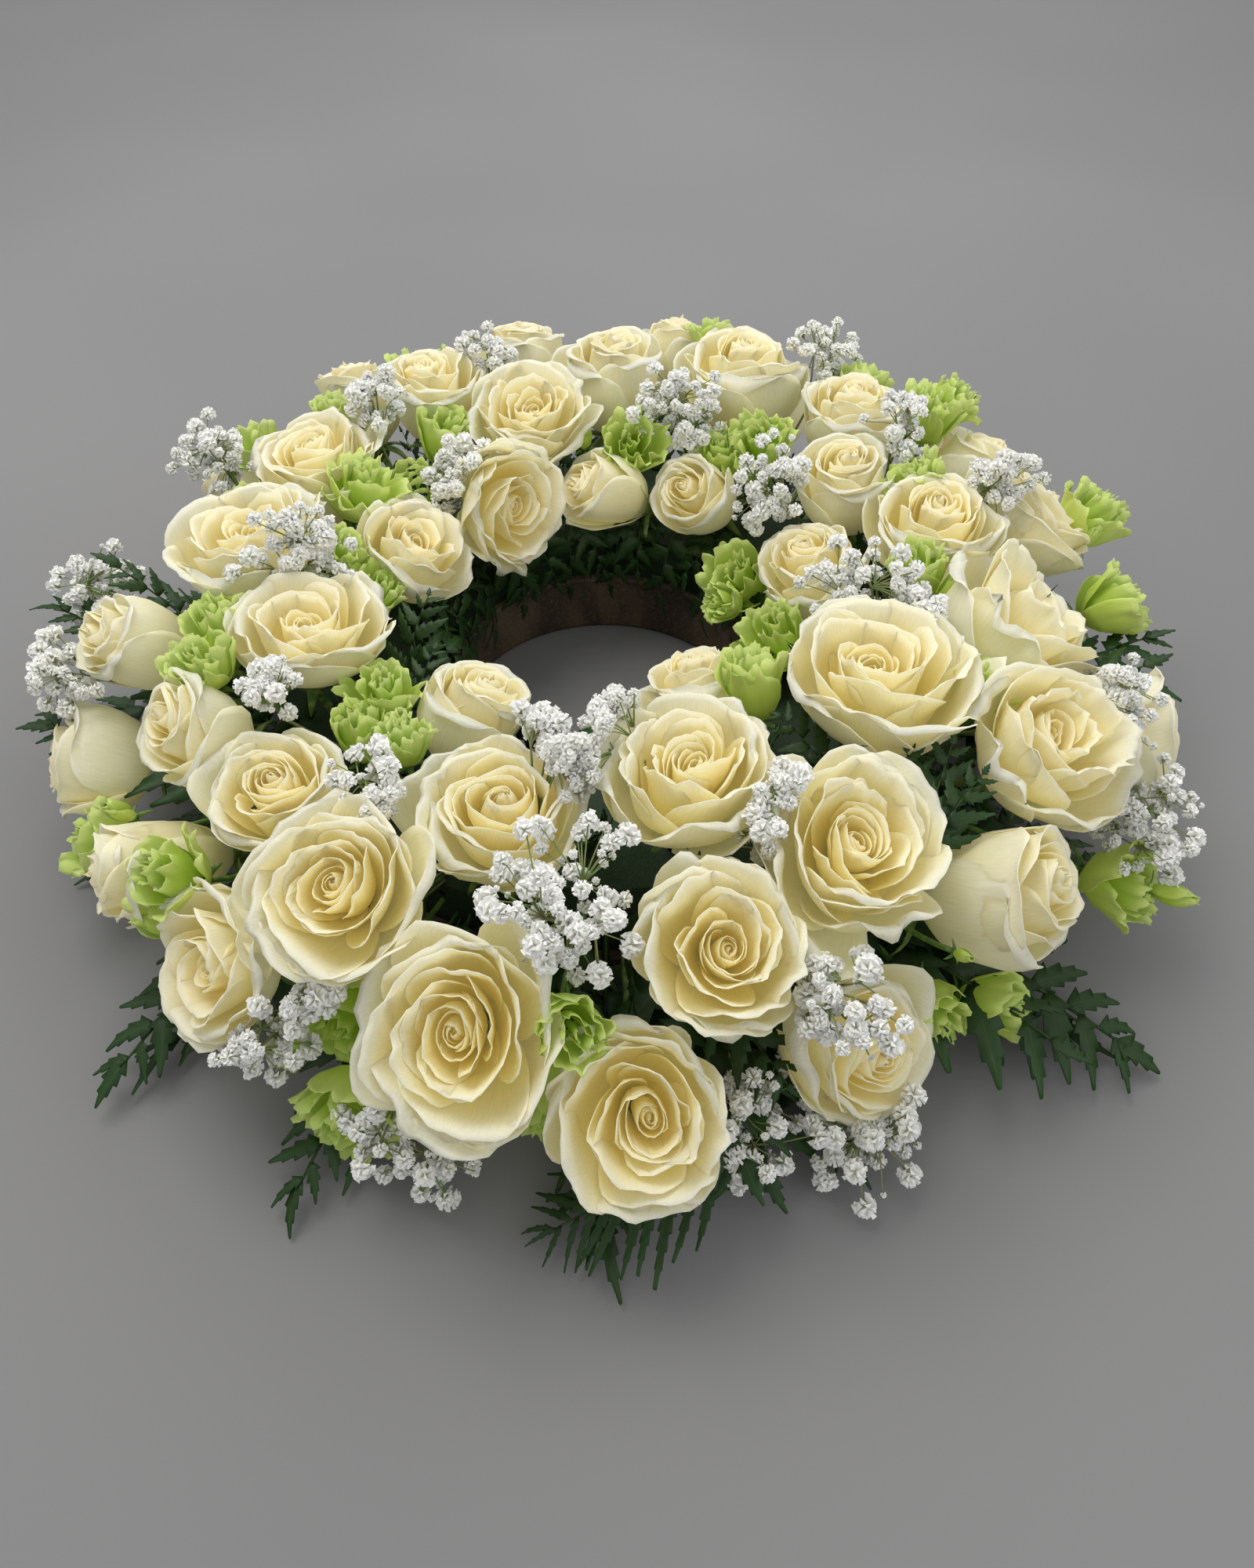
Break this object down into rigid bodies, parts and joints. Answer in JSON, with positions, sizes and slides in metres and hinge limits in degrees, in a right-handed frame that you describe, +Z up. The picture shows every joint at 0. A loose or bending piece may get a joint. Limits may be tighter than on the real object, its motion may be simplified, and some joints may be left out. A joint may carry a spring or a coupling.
{
  "type": "memorial flower wreath",
  "caption": "Round funeral wreath of cream roses, green lisianthus and gypsophila over fern, with stems set in a ring of floral foam in a moulded fibre tray.",
  "frame": {"origin": "middle of the ring, on the plane that the tray stands on", "axes": "+Z up, square to the ring; -Y is the front, where the longest fern frond lies; +X is to the right seen from the front"},
  "size_m": [0.744, 0.7441, 0.1842],
  "materials": {
    "rose_petal": "fresh rose petal, cream to ivory, soft satin, paler at the rims and warmer in the heart",
    "lisianthus_petal": "ruffled lime-green petal, satin, paler along the frilled edge",
    "gypsophila_bloom": "small double white blooms, matt, on thin green twigs",
    "fern_leaf": "leatherleaf fern, dark green, half gloss",
    "floral_foam": "wet floral foam, dark green, fine open cells, matt",
    "wood_fibre": "moulded wood fibre, brown, rough and matt"
  },
  "bodies": {
    "root": {"rose_01": "rose_petal", "rose_02": "rose_petal", "rose_03": "rose_petal", "rose_04": "rose_petal", "rose_05": "rose_petal", "rose_06": "rose_petal", "rose_07": "rose_petal", "rose_08": "rose_petal", "rose_09": "rose_petal", "rose_10": "rose_petal", "rose_11": "rose_petal", "rose_12": "rose_petal", "rose_13": "rose_petal", "rose_14": "rose_petal", "rose_15": "rose_petal", "rose_16": "rose_petal", "rose_17": "rose_petal", "rose_18": "rose_petal", "rose_19": "rose_petal", "rose_20": "rose_petal", "rose_21": "rose_petal", "rose_22": "rose_petal", "rose_23": "rose_petal", "rose_24": "rose_petal", "rose_25": "rose_petal", "rose_26": "rose_petal", "rose_27": "rose_petal", "rose_28": "rose_petal", "rose_29": "rose_petal", "rose_30": "rose_petal", "rose_31": "rose_petal", "rose_32": "rose_petal", "rose_33": "rose_petal", "rose_34": "rose_petal", "rose_35": "rose_petal", "rose_36": "rose_petal", "rose_37": "rose_petal", "rose_38": "rose_petal", "rose_39": "rose_petal", "rose_40": "rose_petal", "rose_41": "rose_petal", "rose_42": "rose_petal", "rose_43": "rose_petal", "rose_44": "rose_petal", "lisianthus_01": "lisianthus_petal", "lisianthus_02": "lisianthus_petal", "lisianthus_03": "lisianthus_petal", "lisianthus_04": "lisianthus_petal", "lisianthus_05": "lisianthus_petal", "lisianthus_06": "lisianthus_petal", "lisianthus_07": "lisianthus_petal", "lisianthus_08": "lisianthus_petal", "gypsophila_01": "gypsophila_bloom", "gypsophila_02": "gypsophila_bloom", "gypsophila_03": "gypsophila_bloom", "gypsophila_04": "gypsophila_bloom", "tray": "wood_fibre", "foam_ring": "floral_foam", "fern_collar_outer": "fern_leaf", "fern_collar_inner": "fern_leaf"}
  },
  "joints": []
}
